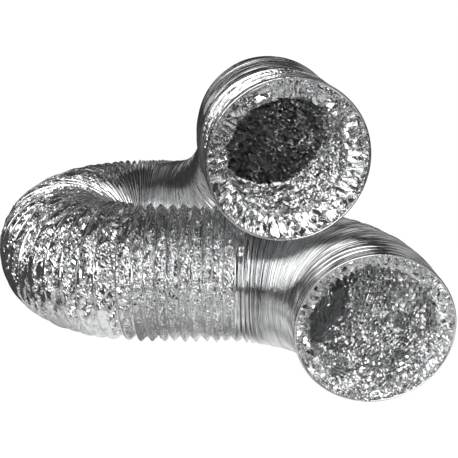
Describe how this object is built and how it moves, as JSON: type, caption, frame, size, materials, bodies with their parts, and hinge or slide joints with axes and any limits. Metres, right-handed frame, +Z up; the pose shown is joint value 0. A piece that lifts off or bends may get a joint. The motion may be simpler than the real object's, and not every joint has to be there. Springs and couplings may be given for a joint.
{
  "type": "flexible air duct",
  "caption": "Flexible foil air duct for 150 mm spigots: a foil bellows over a spring-wire helix, lying in a loop with both open ends facing the same way.",
  "frame": {"origin": "centre of the front mouth, on its rim plane", "axes": "+Y runs into the duct along the front bore, +Z is up, the floor it lies on is 78 mm below the origin"},
  "size_m": [0.4882, 0.4382, 0.315],
  "materials": {
    "outer_foil": "bright crumpled foil laminate",
    "inner_foil": "bright crumpled foil laminate",
    "hem_foil": "bright pleated foil laminate",
    "spring_wire": "drawn spring steel"
  },
  "bodies": {
    "front_mouth": {"front_mouth_outer_ply": "outer_foil", "front_mouth_inner_ply": "inner_foil", "front_mouth_wire": "spring_wire", "front_hem": "hem_foil", "front_rim_wire": "spring_wire"},
    "front_neck": {"front_neck_outer_ply": "outer_foil", "front_neck_inner_ply": "inner_foil", "front_neck_wire": "spring_wire", "flex_fold_1": "outer_foil"},
    "front_elbow": {"front_elbow_outer_ply": "outer_foil", "front_elbow_inner_ply": "inner_foil", "front_elbow_wire": "spring_wire", "flex_fold_2": "outer_foil"},
    "front_run": {"front_run_outer_ply": "outer_foil", "front_run_inner_ply": "inner_foil", "front_run_wire": "spring_wire", "flex_fold_3": "outer_foil", "flex_fold_4": "outer_foil"},
    "bend_entry": {"bend_entry_outer_ply": "outer_foil", "bend_entry_inner_ply": "inner_foil", "bend_entry_wire": "spring_wire", "flex_fold_5": "outer_foil"},
    "bend_crown": {"bend_crown_outer_ply": "outer_foil", "bend_crown_inner_ply": "inner_foil", "bend_crown_wire": "spring_wire", "flex_fold_6": "outer_foil"},
    "bend_exit": {"bend_exit_outer_ply": "outer_foil", "bend_exit_inner_ply": "inner_foil", "bend_exit_wire": "spring_wire", "flex_fold_7": "outer_foil"},
    "back_run": {"back_run_outer_ply": "outer_foil", "back_run_inner_ply": "inner_foil", "back_run_wire": "spring_wire", "flex_fold_8": "outer_foil"},
    "riser_foot": {"riser_foot_outer_ply": "outer_foil", "riser_foot_inner_ply": "inner_foil", "riser_foot_wire": "spring_wire", "flex_fold_9": "outer_foil"},
    "riser": {"riser_outer_ply": "outer_foil", "riser_inner_ply": "inner_foil", "riser_wire": "spring_wire", "flex_fold_10": "outer_foil"},
    "shoulder": {"shoulder_outer_ply": "outer_foil", "shoulder_inner_ply": "inner_foil", "shoulder_wire": "spring_wire", "flex_fold_11": "outer_foil"},
    "top_neck": {"top_neck_outer_ply": "outer_foil", "top_neck_inner_ply": "inner_foil", "top_neck_wire": "spring_wire", "flex_fold_12": "outer_foil"},
    "top_mouth": {"top_mouth_outer_ply": "outer_foil", "top_mouth_inner_ply": "inner_foil", "top_mouth_wire": "spring_wire", "top_hem": "hem_foil", "top_rim_wire": "spring_wire"}
  },
  "joints": [
    {"name": "front_swing", "type": "hinge", "parent": "front_run", "child": "front_elbow", "pos_m": [-0.11146, 0.22841, 0], "axis": [0, 0, 1], "range_deg": [0, 15], "deforming": ["flex_fold_3"]},
    {"name": "front_swing_outer", "type": "hinge", "parent": "front_elbow", "child": "front_neck", "pos_m": [0.02706, 0.16085, 0], "axis": [0, 0, 1], "range_deg": [0, 15], "deforming": ["flex_fold_2"]},
    {"name": "front_stretch", "type": "slide", "parent": "front_neck", "child": "front_mouth", "axis": [0, -1, 0], "range_m": [0, 0.06], "deforming": ["flex_fold_1"]},
    {"name": "run_stretch", "type": "slide", "parent": "front_run", "child": "bend_entry", "axis": [-0.9962, 0.0872, 0], "range_m": [0, 0.05], "deforming": ["flex_fold_4"]},
    {"name": "bend_open", "type": "hinge", "parent": "bend_entry", "child": "bend_crown", "pos_m": [-0.38964, 0.1782, 0], "axis": [0, 0, 1], "range_deg": [0, 12], "deforming": ["flex_fold_5"]},
    {"name": "bend_open_crown", "type": "hinge", "parent": "bend_crown", "child": "bend_exit", "pos_m": [-0.3911, 0.34506, 0], "axis": [0, 0, 1], "range_deg": [0, 12], "deforming": ["flex_fold_6"]},
    {"name": "bend_open_back", "type": "hinge", "parent": "bend_exit", "child": "back_run", "pos_m": [-0.25327, 0.43802, 0], "axis": [0, 0, 1], "range_deg": [0, 12], "deforming": ["flex_fold_7"]},
    {"name": "back_stretch", "type": "slide", "parent": "back_run", "child": "riser_foot", "axis": [1, 0, 0], "range_m": [0, 0.04], "deforming": ["flex_fold_8"]},
    {"name": "top_lift", "type": "hinge", "parent": "riser_foot", "child": "riser", "pos_m": [-0.11102, 0.37711, 0.08722], "axis": [-1, 0, 0], "range_deg": [0, 10], "deforming": ["flex_fold_9"]},
    {"name": "top_lift_shoulder", "type": "hinge", "parent": "riser", "child": "shoulder", "pos_m": [-0.08626, 0.30434, 0.18259], "axis": [-1, 0, 0], "range_deg": [0, 10], "deforming": ["flex_fold_10"]},
    {"name": "top_swing", "type": "hinge", "parent": "shoulder", "child": "top_neck", "pos_m": [-0.01025, 0.17427, 0.15856], "axis": [0, 0, 1], "range_deg": [0, 20], "deforming": ["flex_fold_11"]},
    {"name": "top_stretch", "type": "slide", "parent": "top_neck", "child": "top_mouth", "axis": [0.0965, -0.9951, -0.0205], "range_m": [0, 0.06], "deforming": ["flex_fold_12"]}
  ],
  "couplings": [
    {"joint": "front_swing_outer", "follows": "front_swing", "ratio": 1},
    {"joint": "bend_open_crown", "follows": "bend_open", "ratio": 1},
    {"joint": "bend_open_back", "follows": "bend_open", "ratio": 1},
    {"joint": "top_lift_shoulder", "follows": "top_lift", "ratio": 1}
  ]
}
